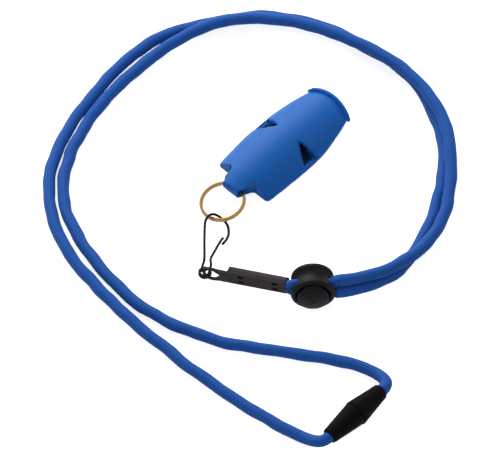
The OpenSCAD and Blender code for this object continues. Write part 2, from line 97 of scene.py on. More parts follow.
# Height of each cord's centre over the lock's axis, and its stations along the lock:
# place along the axis and aside, share of that height, width and height of the section
CORD_LIFT = 2.05
LOCK_STATIONS = (
    (-7.9, 0, 0.7, 2.9, 2.73), (-7.4, 0, 0.7, 2.9, 2.73), (-5.6, 0, 1, 2.9, 3.9),
    (6.6, 0, 1, 2.9, 3.9), (8.4, 0.8, 1, 4.2, 4.0),
)
# Just after the lock the cords lean against each other, by less at each point
NESTLE = (1.1, 0.6)
# A full section is a little wider than high, as a cord lies under its own weight
CORD_SPREAD = 1.06
# Small bends and changes of width: how much, and over what length; both fade in and out
# near the clip and the clasp, where the cord is held
BEND, BEND_RUN, SWELL, SWELL_RUN = 0.55, 7.5, 0.09, 5.0
HELD_START, HELD_END, HELD_FADE = 25, 12, 12
# Soft dents of the sleeve
DENT, DENT_RUN = 0.09, 9.0
# Wales of the knit round a cord, and round an end that is pressed in the clip
WALES, PRESSED_WALES = 14, 8
# Lean of the knit's ribs: how many stitches along in one turn round the cord
RIB_LEAN = 5
# Spacing of the sections along a cord, and points round each; the same for the hook's wire
CORD_STEP, CORD_SIDES, WIRE_STEP, WIRE_SIDES = 0.27, 48, 0.15, 20

# Clip: ends of its channel, height of the cords and of their pressed ends in it, and how
# far each lies from its middle
CLIP_START, CLIP_END = 8.6, 29.2
CLIP_CORD_Y, CLIP_PRESSED_Y, CLIP_ASIDE = 1.6, 1.72, 1.02

# Snap hook wire in the hook's own frame: tip, bow, long arm; then the arm after the coil
HOOK_ROUTE = [
    (14.1, -3.7, 1.3), (15.4, -4.3, 1.1), (17, -4.8, 0.8), (19, -5, 0.6), (21, -4.7, 0.5),
    (22.7, -4.1, 0.5), (24.1, -3, 0.55), (25.1, -1.7, 0.75), (25.5, -0.3, 1.5),
    (25.3, 1.1, 2.3), (24.3, 2.4, 2.8), (22.7, 3.1, 2.9), (20.6, 3.3, 2.9), (15, 2.6, 2.5),
    (10, 1.8, 2.5), (5.8, 1.2, 2.5), (3.2, 1.4, 2.5),
]
HOOK_BACK = [
    (2.7, -1.6, 4.3), (5.4, -1.1, 4.2), (9.6, -1.9, 3.3), (13.9, -2.9, 2.6), (15.9, -3.6, 2.4),
]
# Its coil: radius, pitch, angle and height of its start, turns, and points in one turn
COIL_R, COIL_PITCH, COIL_START, COIL_BASE, COIL_TURNS, COIL_STEPS = 1.9, 1.1, 40.0, 2.5, 1.5, 14

# Split ring: radius, flat wire with its rounding as a share of each side, gap between the
# turns, and the angles of the first turn, the ramp and the second turn
RING_R, RING_W, RING_T, RING_ROUND, RING_GAP = 7.45, 1.02, 0.62, 0.28, 0.04
RING_ANGLES, RING_STEP = ((35.0, 330.0), (330.0, 390.0), (390.0, 685.0)), 3.0

# Whistle's roof: radius across, radius and middle of the lengthwise arch, centre's height
ROOF_R, ARCH_R, ARCH_X, ROOF_Z = 14.6, 130.0, -3.0, -6.2
# Windows: inner tip, lowest edge, slope and turn of the ramp, and turn of the front wall
WINDOW_TIP, WINDOW_FLOOR = Vector((0.5, 4.2, 7.8)), 1.75
RAMP_TILT, RAMP_TURN, WALL_TURN = 60.0, 53.0, 15.0
# Wells under the windows: turn of the back wall, its step, floor and outer side
WELL_TURN, WELL_EDGE, WELL_FLOOR, WELL_Y = 33.0, 0.6, 1.4, 11.3
# Chambers: back, front, half width, floor, and the depth under the roof from which
# painted shade darkens their walls and at which it is darkest
CHAMBER_X, CHAMBER_Y, CHAMBER_Z, CHAMBER_DEPTH = (-19.7, 4.0), 11.4, 0.9, (1.3, 2.8)
# Fine witness line that the mould leaves across the roof
WITNESS_X = -5.9
# Tail, and the tab behind it: middle and half sizes of what is trimmed over it, then how
# far its top droops, over what length
TAIL_X, TAB_MID_X, TAB_HALF_X, TAB_HALF_Y = -22.0, -25.2, 5.4, 8.5
TAB_DROOP, TAB_DROOP_RUN = 0.55, 6.0
# Rim's bead and the crease behind it: plan radius, lift over the roof, thickness; both
# curve about MOUTH_X and reach RIM_Y to each side
BEAD, CREASE, MOUTH_X, RIM_Y = (27.35, 0.5, 1.4), (26.25, 0.1, 0.9), -4.6, 8.2
# Upright tail corners: where the side meets the tail, and how much of the corner goes
CORNER_Y, CORNER_CUT = 11.5, 0.8
# Copies of CAD parts: points closer than this merge, and the skin is smoothed so often
MERGE_MM, SMOOTHINGS = 0.0005, 16

# The camera looks along this line and sees this width at the target
VIEW_TARGET = Vector((-32.8, -13.4, 0.0))
VIEW_RIGHT = Vector((0.682, -0.731, 0.0))
VIEW_BACK = Vector((-0.430, -0.401, 0.809))
VIEW_WIDTH_MM = 169.5
VIEW_DISTANCE_MM = 6000.0
# The table top lies this much under z = 0, clear of every flat underside, and lets this
# share of the world's white through
TABLE_GAP_MM, TABLE_CLEAR = 0.06, 0.75
# Light of the world on the pieces; cameras and mirrors see it at 1, which is white
WORLD_LIGHT = 0.22
SENSOR_MM = 36.0


def srgb(code):
    """Linear colour of an sRGB hex code."""
    values = [int(code[i : i + 2], 16) / 255 for i in (1, 3, 5)]
    return tuple(v / 12.92 if v <= 0.04045 else ((v + 0.055) / 1.055) ** 2.4 for v in values)


def placed(at, turn):
    """Matrix that turns about x, y and z in that order, in degrees, then moves, in mm."""
    x, y, z = (math.radians(a) for a in turn)
    spin = Matrix.Rotation(z, 4, "Z") @ Matrix.Rotation(y, 4, "Y") @ Matrix.Rotation(x, 4, "X")
    return Matrix.Translation(at) @ spin


IN_RING = placed(RING_AT, RING_TURN)
IN_HOOK = placed(HOOK_AT, HOOK_TURN)
IN_CLIP = placed(CLIP_AT, CLIP_TURN)
IN_LOCK = placed(LOCK_AT, LOCK_TURN)


class LanyardSizes(bpy.types.PropertyGroup):
    """Sizes that a user would change."""

    cord_d: bpy.props.FloatProperty(
        name="Cord", description="Diameter of the cords",
        default=3.9 * MM, min=3 * MM, max=5 * MM, subtype="DISTANCE",
    )
    stitch: bpy.props.FloatProperty(
        name="Stitch", description="Length of one stitch along the cord",
        default=0.75 * MM, min=0.6 * MM, max=2 * MM, subtype="DISTANCE",
    )
    stitch_depth: bpy.props.FloatProperty(
        name="Stitch depth", description="Relief of the stitches",
        default=0.09 * MM, min=0, max=0.3 * MM, subtype="DISTANCE",
    )
    wire_d: bpy.props.FloatProperty(
        name="Hook wire", description="Diameter of the snap hook's wire",
        default=0.9 * MM, min=0.7 * MM, max=1.4 * MM, subtype="DISTANCE",
    )
    edge: bpy.props.FloatProperty(
        name="Edge", description="Grain of the rounding of moulded edges",
        default=0.22 * MM, min=0.15 * MM, max=0.5 * MM, subtype="DISTANCE",
    )


class LanyardColours(bpy.types.PropertyGroup):
    """Colours that a user would change."""

    shell: bpy.props.FloatVectorProperty(
        name="Shell", description="Moulded whistle plastic",
        default=srgb("#0A5CAF"), size=3, subtype="COLOR",
    )
    cord: bpy.props.FloatVectorProperty(
        name="Cord", description="Dyed polyester yarn",
        default=srgb("#1A5CB8"), size=3, subtype="COLOR",
    )
    ring: bpy.props.FloatVectorProperty(
        name="Ring", description="Brass plating",
        default=srgb("#98794A"), size=3, subtype="COLOR",
    )
    steel: bpy.props.FloatVectorProperty(
        name="Blackened steel", description="Clip and hook",
        default=srgb("#1C171A"), size=3, subtype="COLOR",
    )
    fittings: bpy.props.FloatVectorProperty(
        name="Fittings", description="Cord lock and clasp plastic",
        default=srgb("#0A070B"), size=3, subtype="COLOR",
    )


# ---- Materials


def add_node(tree, kind, inputs=None, **settings):
    """Adds a node; inputs takes values or the sockets that feed it."""
    node = tree.nodes.new(kind)
    for name, value in settings.items():
        setattr(node, name, value)
    for socket, value in (inputs or {}).items():
        if isinstance(value, bpy.types.NodeSocket):
            tree.links.new(value, node.inputs[socket])
        else:
            node.inputs[socket].default_value = value
    return node


def new_material(name):
    """An empty material with its output: (material, tree, function that takes the shader)."""
    material = bpy.data.materials.new(name)
    material.use_nodes = True
    tree = material.node_tree
    tree.nodes.clear()
    output = tree.nodes.new("ShaderNodeOutputMaterial")

    def finish(shader):
        tree.links.new(shader.outputs[0], output.inputs["Surface"])
        return material

    return material, tree, finish


def object_mm(tree):
    """Object coordinates in millimetres."""
    place = add_node(tree, "ShaderNodeTexCoord")
    return add_node(
        tree, "ShaderNodeMapping", {"Vector": place.outputs["Object"], "Scale": (1 / MM,) * 3}
    ).outputs["Vector"]


def shades(tree, factor, colour, spread):
    """The colour, from darker to lighter by the spread, as the factor goes from 0 to 1."""
    low = (*(c * (1 - spread) for c in colour), 1)
    high = (*(min(1, c * (1 + spread)) for c in colour), 1)
    mix = add_node(tree, "ShaderNodeMix", {0: factor, 6: low, 7: high}, data_type="RGBA")
    return mix.outputs[2]


def moulded_abs(colour):
    """Moulded ABS: even colour through and through, a satin skin that spreads highlights,
    faint waviness from the mould and one fine witness line across the roof; the walls of
    its chambers get painted shade."""
    material, tree, finish = new_material("moulded_abs_satin")
    at = object_mm(tree)
    # Flow clouds about 12 mm wide, skin waviness about 2.5 mm
    clouds = add_node(tree, "ShaderNodeTexNoise", {"Vector": at, "Scale": 0.08, "Detail": 2.0})
    skin = add_node(tree, "ShaderNodeTexNoise", {"Vector": at, "Scale": 0.4, "Detail": 3.0})
    # Grit of the polished mould, drawn at 0.35 mm so that it shows
    grit = add_node(tree, "ShaderNodeTexNoise", {"Vector": at, "Scale": 2.8, "Detail": 2.0})
    split = add_node(tree, "ShaderNodeSeparateXYZ", {"Vector": at})
    away = add_node(
        tree, "ShaderNodeMath", {0: split.outputs["X"], 1: WITNESS_X}, operation="SUBTRACT"
    )
    off = add_node(tree, "ShaderNodeMath", {0: away.outputs[0]}, operation="ABSOLUTE")
    # The witness line is 0.6 mm wide
    line = add_node(
        tree, "ShaderNodeMapRange", {"Value": off.outputs[0], "From Min": 0.05, "From Max": 0.3}
    )
    rough = add_node(
        tree, "ShaderNodeMapRange", {"Value": grit.outputs["Fac"], "To Min": 0.48, "To Max": 0.58}
    )
    skinned = shades(tree, clouds.outputs["Fac"], colour, 0.07)
    # Painted shade: deep in the chambers the walls fall to 0.12 of the shell colour
    unlit = (*(c * 0.12 for c in colour), 1)
    chamber_shaded = add_node(
        tree, "ShaderNodeMix", {0: painted_chamber_shade(tree, split), 6: skinned, 7: unlit},
        data_type="RGBA",
    )
    waves = add_node(
        tree, "ShaderNodeBump",
        {"Height": skin.outputs["Fac"], "Strength": 0.25, "Distance": 0.06 * MM},
    )
    grain = add_node(
        tree,
        "ShaderNodeBump",
        {"Height": grit.outputs["Fac"], "Strength": 0.35, "Distance": 0.012 * MM,
         "Normal": waves.outputs["Normal"]},
    )
    witness = add_node(
        tree,
        "ShaderNodeBump",
        {"Height": line.outputs[0], "Strength": 0.5, "Distance": 0.03 * MM,
         "Normal": grain.outputs["Normal"]},
    )
    return finish(add_node(
        tree,
        "ShaderNodeBsdfPrincipled",
        {"Base Color": chamber_shaded.outputs[2], "Roughness": rough.outputs[0], "IOR": 1.53,
         "Specular IOR Level": 0.17, "Normal": witness.outputs["Normal"]},
    ))


def painted_chamber_shade(tree, split):
    """0 on the whistle's skin and 1 in its chambers: how much painted shade darkens their walls."""
    def node(operation, first, second=0.0):
        inputs = {0: first, 1: second}
        return add_node(tree, "ShaderNodeMath", inputs, operation=operation).outputs[0]

    x, y, z = (split.outputs[axis] for axis in "XYZ")
    aside = node("ABSOLUTE", y)
    # The roof's radius at this x, close enough as a parabola
    lean = node("POWER", node("SUBTRACT", x, ARCH_X), 2.0)
    roof = node("SUBTRACT", ROOF_R, node("DIVIDE", lean, 2 * ARCH_R))
    up = node("SUBTRACT", z, ROOF_Z)
    radius = node("SQRT", node("ADD", node("POWER", up, 2.0), node("POWER", aside, 2.0)))
    shallow, deep = CHAMBER_DEPTH
    depth = add_node(
        tree, "ShaderNodeMapRange",
        {"Value": node("SUBTRACT", roof, radius), "From Min": shallow, "From Max": deep},
    ).outputs[0]
    back, front = CHAMBER_X
    for inner in (
        node("GREATER_THAN", x, back), node("LESS_THAN", x, front),
        node("LESS_THAN", aside, CHAMBER_Y), node("GREATER_THAN", z, CHAMBER_Z),
    ):
        depth = node("MULTIPLY", depth, inner)
    return depth


def knitted_polyester(colour, along, length_mm, around):
    """Knitted polyester sleeve: dull filament yarn with a soft sheen, painted shade between
    stitches.

    It has this many stitches along its length and around it."""
    material, tree, finish = new_material("knitted_polyester")
    at = add_node(tree, "ShaderNodeUVMap", uv_map="Lay").outputs["UV"]
    # U runs along the cord and V round it; both are scaled to count stitches
    count = add_node(
        tree, "ShaderNodeMapping", {"Vector": at, "Scale": (along, around, 1)}
    )
    split = add_node(tree, "ShaderNodeSeparateXYZ", {"Vector": count.outputs["Vector"]})

    def crest(position):
        turn = add_node(tree, "ShaderNodeMath", {0: position, 1: math.pi}, operation="MULTIPLY")
        wave = add_node(tree, "ShaderNodeMath", {0: turn.outputs[0]}, operation="SINE")
        both = add_node(tree, "ShaderNodeMath", {0: wave.outputs[0]}, operation="ABSOLUTE")
        return both.outputs[0]

    # Slanted ribs cross the cord, and each is parted where the wales meet
    slant = add_node(
        tree, "ShaderNodeMath",
        {0: split.outputs["Y"], 1: RIB_LEAN / around, 2: split.outputs["X"]},
        operation="MULTIPLY_ADD",
    )
    height = add_node(
        tree, "ShaderNodeMix",
        {0: 0.3, 2: crest(slant.outputs[0]), 3: crest(split.outputs["Y"])}, data_type="FLOAT",
    )
    # Filaments about 0.12 mm apart, drawn across each stitch
    fibres = add_node(
        tree, "ShaderNodeMapping", {"Vector": at, "Scale": (length_mm / 0.5, 96, 1)}
    )
    fuzz = add_node(
        tree, "ShaderNodeTexNoise",
        {"Vector": fibres.outputs["Vector"], "Scale": 1.0, "Detail": 2.0},
    )
    patches = add_node(
        tree, "ShaderNodeTexNoise", {"Vector": object_mm(tree), "Scale": 0.12, "Detail": 2.0}
    )
    dye = shades(tree, patches.outputs["Fac"], colour, 0.10)
    # Painted shade: between the stitches the colour falls to 0.32 of the dye
    shadow = add_node(
        tree,
        "ShaderNodeMix",
        {0: height.outputs[0], 6: (*(c * 0.32 for c in colour), 1), 7: dye},
        data_type="RGBA",
    )
    yarn = add_node(
        tree, "ShaderNodeBump",
        {"Height": height.outputs[0], "Strength": 0.6, "Distance": 0.12 * MM},
    )
    thread = add_node(
        tree,
        "ShaderNodeBump",
        {"Height": fuzz.outputs["Fac"], "Strength": 0.5, "Distance": 0.04 * MM,
         "Normal": yarn.outputs["Normal"]},
    )
    return finish(add_node(
        tree,
        "ShaderNodeBsdfPrincipled",
        {"Base Color": shadow.outputs[2], "Roughness": 0.72, "IOR": 1.5,
         "Specular IOR Level": 0.2, "Sheen Weight": 0.06, "Sheen Roughness": 0.4,
         "Normal": thread.outputs["Normal"]},
    ))


def plated_brass(colour):
    """Brass plating over drawn spring steel: a satin gold shine with fine drawing marks."""
    material, tree, finish = new_material("plated_brass")
    at = object_mm(tree)
    marks = add_node(tree, "ShaderNodeTexNoise", {"Vector": at, "Scale": 1.2, "Detail": 4.0})
    tarnish = add_node(tree, "ShaderNodeTexNoise", {"Vector": at, "Scale": 0.25, "Detail": 2.0})
    rough = add_node(
        tree, "ShaderNodeMapRange", {"Value": marks.outputs["Fac"], "To Min": 0.32, "To Max": 0.46}
    )
    bump = add_node(
        tree, "ShaderNodeBump",
        {"Height": marks.outputs["Fac"], "Strength": 0.3, "Distance": 0.01 * MM},
    )
    # Painted reflection: the flats that face along the ring's axis are painted dark and the rolled
    # edges keep the colour, so the wire shows bright edges with a dark line between
    normal = add_node(tree, "ShaderNodeTexCoord").outputs["Normal"]
    facing = add_node(
        tree, "ShaderNodeVectorMath", {0: normal, 1: IN_RING.to_3x3() @ Vector((0, 0, 1))},
        operation="DOT_PRODUCT",
    )
    level = add_node(tree, "ShaderNodeMath", {0: facing.outputs["Value"]}, operation="ABSOLUTE")
    flat = add_node(
        tree, "ShaderNodeMapRange", {"Value": level.outputs[0], "From Min": 0.8, "From Max": 0.97}
    )
    # Painted dark reflection on the flats, at 0.4 of the colour
    dull = (*(c * 0.4 for c in colour), 1)
    painted_reflection = add_node(
        tree, "ShaderNodeMix",
        {0: flat.outputs[0], 6: shades(tree, tarnish.outputs["Fac"], colour, 0.12), 7: dull},
        data_type="RGBA",
    )
    return finish(add_node(
        tree,
        "ShaderNodeBsdfPrincipled",
        {"Base Color": painted_reflection.outputs[2], "Metallic": 1.0,
         "Roughness": rough.outputs[0], "Normal": bump.outputs["Normal"]},
    ))


def blackened_steel(name, colour, grain_mm):
    """Black-oxide steel: warm black with a dull metallic shine and rolling marks."""
    material, tree, finish = new_material(name)
    at = object_mm(tree)
    rolled = add_node(
        tree, "ShaderNodeTexNoise",
        {"Vector": at, "Scale": 1 / grain_mm, "Detail": 4.0, "Roughness": 0.6},
    )
    bloom = add_node(tree, "ShaderNodeTexNoise", {"Vector": at, "Scale": 0.3, "Detail": 2.0})
    rough = add_node(
        tree, "ShaderNodeMapRange", {"Value": rolled.outputs["Fac"], "To Min": 0.38, "To Max": 0.55}
    )
    bump = add_node(
        tree, "ShaderNodeBump",
        {"Height": rolled.outputs["Fac"], "Strength": 0.4, "Distance": 0.02 * MM},
    )
    return finish(add_node(
        tree,
        "ShaderNodeBsdfPrincipled",
        {"Base Color": shades(tree, bloom.outputs["Fac"], colour, 0.18), "Metallic": 1.0,
         "Roughness": rough.outputs[0], "Normal": bump.outputs["Normal"]},
    ))


def moulded_black(name, colour, rough_from, gloss):
    """Black moulded acetal or polypropylene: waxy skin, lighter where light rakes it."""
    material, tree, finish = new_material(name)
    at = object_mm(tree)
    skin = add_node(tree, "ShaderNodeTexNoise", {"Vector": at, "Scale": 2.2, "Detail": 3.0})
    clouds = add_node(tree, "ShaderNodeTexNoise", {"Vector": at, "Scale": 0.2, "Detail": 2.0})
    rough = add_node(
        tree, "ShaderNodeMapRange",
        {"Value": skin.outputs["Fac"], "To Min": rough_from, "To Max": rough_from + 0.14},
    )
    bump = add_node(
        tree, "ShaderNodeBump",
        {"Height": skin.outputs["Fac"], "Strength": 0.3, "Distance": 0.02 * MM},
    )
    return finish(add_node(
        tree,
        "ShaderNodeBsdfPrincipled",
        {"Base Color": shades(tree, clouds.outputs["Fac"], colour, 0.2), "IOR": 1.48,
         "Roughness": rough.outputs[0], "Specular IOR Level": gloss,
         "Normal": bump.outputs["Normal"]},
    ))


def bright_steel():
    """Drawn spring steel, plain and bright."""
    material, tree, finish = new_material("drawn_spring_steel")
    drawn = add_node(
        tree, "ShaderNodeTexNoise", {"Vector": object_mm(tree), "Scale": 3.0, "Detail": 3.0}
    )
    rough = add_node(
        tree, "ShaderNodeMapRange", {"Value": drawn.outputs["Fac"], "To Min": 0.25, "To Max": 0.4}
    )
    return finish(add_node(
        tree,
        "ShaderNodeBsdfPrincipled",
        {"Base Color": (*srgb("#B9BBBE"), 1), "Metallic": 1.0, "Roughness": rough.outputs[0]},
    ))


def dress(obj, material):
    """Gives the object one material in every slot."""
    obj.data.materials.clear()
    obj.data.materials.append(material)
    for face in obj.data.polygons:
        face.material_index = 0


# ---- Shapes


def curve_through(points, step):
    """Catmull-Rom curve through vectors of any length, resampled about step apart."""
    fine = []
    for i in range(len(points) - 1):
        p, q = points[max(i - 1, 0)], points[i]
        r, s = points[i + 1], points[min(i + 2, len(points) - 1)]
        pieces = max(2, math.ceil((r - q).length / (step / 4)))
        for k in range(pieces):
            t = k / pieces
            fine.append(
                0.5 * (2 * q + (r - p) * t + (2 * p - 5 * q + 4 * r - s) * t**2
                       + (3 * q - p - 3 * r + s) * t**3)
            )
    fine.append(points[-1].copy())
    run = [0.0]
    for a, b in zip(fine, fine[1:]):
        run.append(run[-1] + (Vector(b[:3]) - Vector(a[:3])).length)
    count = max(2, round(run[-1] / step))
    stations, j = [], 0
    for k in range(count + 1):
        goal = run[-1] * k / count
        while j < len(run) - 2 and run[j + 1] < goal:
            j += 1
        span = run[j + 1] - run[j] or 1.0
        stations.append(fine[j].lerp(fine[j + 1], min(1.0, (goal - run[j]) / span)))
    return stations, run[-1]


def tube(name, stations, sides, relief=None):
    """A closed tube along the stations, each (x, y, z, width, height) in mm.

    A flat grid is rolled round the line, so its UV map keeps U along it and V round it.
    relief(u, v, place) gives the height added to the radius, in mm."""
    last = len(stations) - 1
    frames = []
    for i, here in enumerate(stations):
        ahead = Vector(stations[min(i + 1, last)][:3]) - Vector(stations[max(i - 1, 0)][:3])
        along = ahead.normalized()
        side = along.cross(Vector((0, 0, 1)))
        across = side.normalized() if side.length > 0.2 else frames[-1][1]
        across = (across - along * across.dot(along)).normalized()
        frames.append((Vector(here[:3]), across, across.cross(along), here[3] / 2, here[4] / 2))

    bm = bmesh.new()
    layer = bm.loops.layers.uv.new("Lay")
    bmesh.ops.create_grid(bm, x_segments=last, y_segments=sides, size=1.0)
    for face in bm.faces:
        for loop in face.loops:
            loop[layer].uv = ((loop.vert.co.x + 1) / 2, (loop.vert.co.y + 1) / 2)
        face.smooth = True
    for vert in bm.verts:
        u, v = (vert.co.x + 1) / 2, (vert.co.y + 1) / 2
        centre, across, up, half_w, half_h = frames[round(u * last)]
        turn = math.tau * v
        out = across * (half_w * math.cos(turn)) + up * (half_h * math.sin(turn))
        if relief:
            out *= 1 + relief(u, v, centre) / out.length
        vert.co = (centre + out) * MM
    bmesh.ops.remove_doubles(bm, verts=bm.verts, dist=1e-7)
    bmesh.ops.holes_fill(bm, edges=[e for e in bm.edges if e.is_boundary], sides=0)
    bmesh.ops.recalc_face_normals(bm, faces=bm.faces)
    return mesh_object(name, bm)


def mesh_object(name, bm):
    """An object in the scene from a bmesh that is in place."""
    mesh = bpy.data.meshes.new(name)
    bm.to_mesh(mesh)
    bm.free()
    obj = bpy.data.objects.new(name, mesh)
    bpy.context.scene.collection.objects.link(obj)
    return obj


def welded_node(name):
    """A CAD node whose faces share their points, so that it shades as one surface."""
    obj = NODES[name]
    weld = obj.modifiers.new("weld", "WELD")
    weld.merge_threshold = MERGE_MM * MM
    return obj


def half_space_block(planes):
    """A block trimmed to one side of each plane (point in mm, outward normal)."""
    bm = bmesh.new()
    bmesh.ops.create_cube(bm, size=60 * MM)
    for point, normal in planes:
        bmesh.ops.bisect_plane(
            bm, geom=bm.verts[:] + bm.edges[:] + bm.faces[:], plane_co=point * MM, plane_no=normal,
            clear_outer=True,
        )
        bmesh.ops.holes_fill(bm, edges=[e for e in bm.edges if e.is_boundary], sides=0)
    bmesh.ops.recalc_face_normals(bm, faces=bm.faces)
    return mesh_object("cutter", bm)


def level_out(turn):
    """Level vector that is turned by this much from X towards Y, in degrees."""
    angle = math.radians(turn)
    return Vector((math.cos(angle), math.sin(angle), 0))


def window_cutter(side):
    """The window's wedge, down to its lowest edge, on the side 1 or -1."""
    tilt = math.radians(RAMP_TILT)
    over = level_out(RAMP_TURN) * math.sin(tilt) + Vector((0, 0, math.cos(tilt)))
    flip = Vector((1, side, 1))
    return half_space_block((
        (WINDOW_TIP * flip, -over * flip),
        (WINDOW_TIP * flip, level_out(-WALL_TURN) * flip),
        (Vector((0, 0, WINDOW_FLOOR)), Vector((0, 0, -1))),
    ))


def well_cutter(side):
    """The shaft from the window's lower part down into the chamber, on the side 1 or -1."""
    back = level_out(WELL_TURN)
    flip = Vector((1, side, 1))
    return half_space_block((
        ((WINDOW_TIP + back * WELL_EDGE) * flip, -back * flip),
        (WINDOW_TIP * flip, level_out(-WALL_TURN) * flip),
        (Vector((0, 0, WELL_FLOOR)), Vector((0, 0, -1))),
        (Vector((0, WELL_Y, 0)) * flip, Vector((0, 1, 0)) * flip),
    ))


def roof_height(x, y, lift):
    """Height of the point over (x, y) that lies this far out from the arched roof, in mm."""
    radius = ROOF_R - ARCH_R + math.sqrt(ARCH_R**2 - (x - ARCH_X) ** 2) + lift
    return ROOF_Z + math.sqrt(radius**2 - y**2)


def tab_cutter():
    """What stands over the tab: its top runs on from the roof and droops to the nose."""
    bm = bmesh.new()
    bmesh.ops.create_grid(bm, x_segments=24, y_segments=32, size=1.0)
    for vert in bm.verts:
        x, y = TAB_MID_X + TAB_HALF_X * vert.co.x, TAB_HALF_Y * vert.co.y
        droop = TAB_DROOP * min(1, max(0, (TAIL_X - x) / TAB_DROOP_RUN))
        # A hair over the roof, which it leaves whole
        vert.co = (x, y, roof_height(x, y, 0) + 0.03 - droop)
    top = bmesh.ops.extrude_face_region(bm, geom=bm.faces[:])["geom"]
    lifted = [item for item in top if isinstance(item, bmesh.types.BMVert)]
    bmesh.ops.translate(bm, vec=(0, 0, 6), verts=lifted)
    bmesh.ops.scale(bm, vec=(MM,) * 3, verts=bm.verts)
    bmesh.ops.recalc_face_normals(bm, faces=bm.faces)
    return mesh_object("cutter", bm)


def tab_cheek(side):
    """Fills the flared hole above the ring's path, so that the tab's top keeps its width."""
    flip = Vector((1, side, 1))
    # Nose, its slope, root, inner and outer side, underside and top
    planes = (
        ((-28.2, 0, 5), (-1, 0, 0)), ((-27.6, 0, 5.9), (-0.7, 0, 0.7)),
        ((-21.2, 0, 5), (1, 0, 0)), ((0, 2.7, 0), (0, -1, 0)), ((0, 4.5, 0), (0, 1, 0)),
        ((0, 0, 5.05), (0, 0, -1)), ((0, 0, 6.6), (0, 0, 1)),
    )
    return half_space_block([(Vector(at) * flip, Vector(out) * flip) for at, out in planes])


def rim_tube(reach, lift, width):
    """A tube over the roof from side to side, at this plan radius of the mouth's curve and
    this height over the roof: the rim's round bead, or the crease behind it."""
    stations = []
    for k in range(61):
        y = RIM_Y * (k / 30 - 1)
        x = MOUTH_X + math.sqrt(reach**2 - y**2)
        stations.append(Vector((x, y, roof_height(x, y, lift), width, width)))
    return tube("cutter", stations, 16)


def corner_cutter(side):
    """What the tail's upright corner loses before its edges are rounded, side 1 or -1."""
    flip = Vector((1, side, 1))
    planes = (
        ((TAIL_X + CORNER_CUT, CORNER_Y, 0), (1, -1, 0)), ((0, CORNER_Y / 2, 0), (0, -1, 0)),
    )
    return half_space_block([(Vector(at) * flip, Vector(out) * flip) for at, out in planes])


def merged_copy(node, name):
    """A copy of a CAD node whose faces share their points."""
    bm = bmesh.new()
    bm.from_mesh(NODES[node].data)
    bm.transform(NODES[node].matrix_world)
    bmesh.ops.remove_doubles(bm, verts=bm.verts, dist=MERGE_MM * MM)
    return mesh_object(name, bm)


def moulded_copy(name, added, cutters, grain):
    """A merged copy of a CAD node with pieces added and then cut away, under one even skin
    of this grain, in metres, whose edges are rounded."""
    obj = merged_copy(name, name + "_moulded")
    for piece in added + cutters:
        change = obj.modifiers.new("change", "BOOLEAN")
        change.operation, change.object = "UNION" if piece in added else "DIFFERENCE", piece
    changed = obj.evaluated_get(bpy.context.evaluated_depsgraph_get())
    obj.data = bpy.data.meshes.new_from_object(changed)
    obj.modifiers.clear()
    for piece in added + cutters:
        bpy.data.objects.remove(piece)
    skin = obj.modifiers.new("even skin", "REMESH")
    skin.mode, skin.voxel_size, skin.use_smooth_shade = "VOXEL", grain, True
    soft = obj.modifiers.new("soft edges", "SMOOTH")
    soft.factor, soft.iterations = 0.5, SMOOTHINGS
    return obj


# ---- Operators, one for each piece


